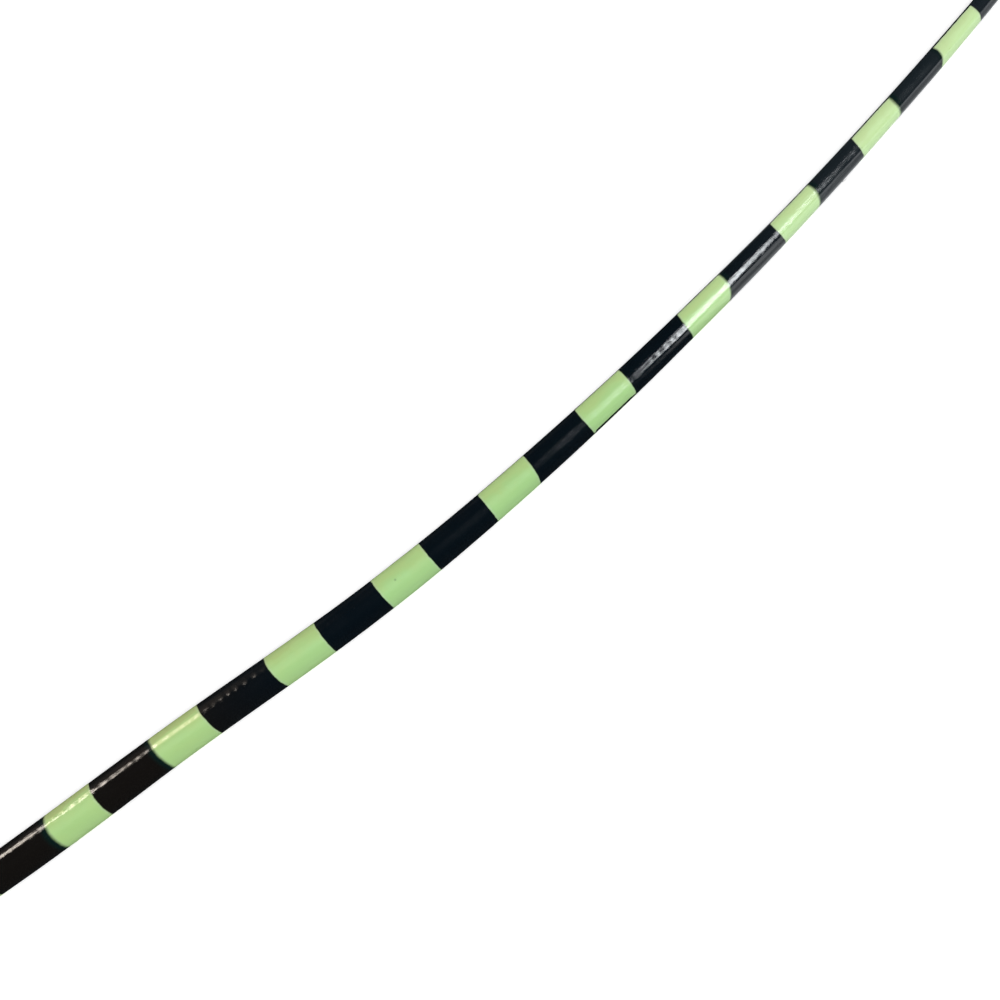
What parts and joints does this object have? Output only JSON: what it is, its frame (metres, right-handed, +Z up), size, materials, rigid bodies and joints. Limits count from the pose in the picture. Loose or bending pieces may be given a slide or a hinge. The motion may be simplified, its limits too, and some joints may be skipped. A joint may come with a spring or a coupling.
{
  "type": "ostrich feather quill",
  "caption": "Bare curved ostrich feather shaft, stripped of its barbs, grooved underneath, dyed lime green with black bands, lying on its side.",
  "frame": {"origin": "middle of the base of the object's box, on the surface that the quill lies on", "axes": "+X from the root to the tip, +Y towards the hollow side of the curve, +Z up from the surface"},
  "size_m": [0.4164, 0.048, 0.0057],
  "materials": {
    "dyed_keratin": "smooth satin horn, bleached and dyed lime green, with glossy black dyed bands about 11 mm wide between green bands 9 mm wide"
  },
  "bodies": {
    "root": {"quill": "dyed_keratin"}
  },
  "joints": []
}
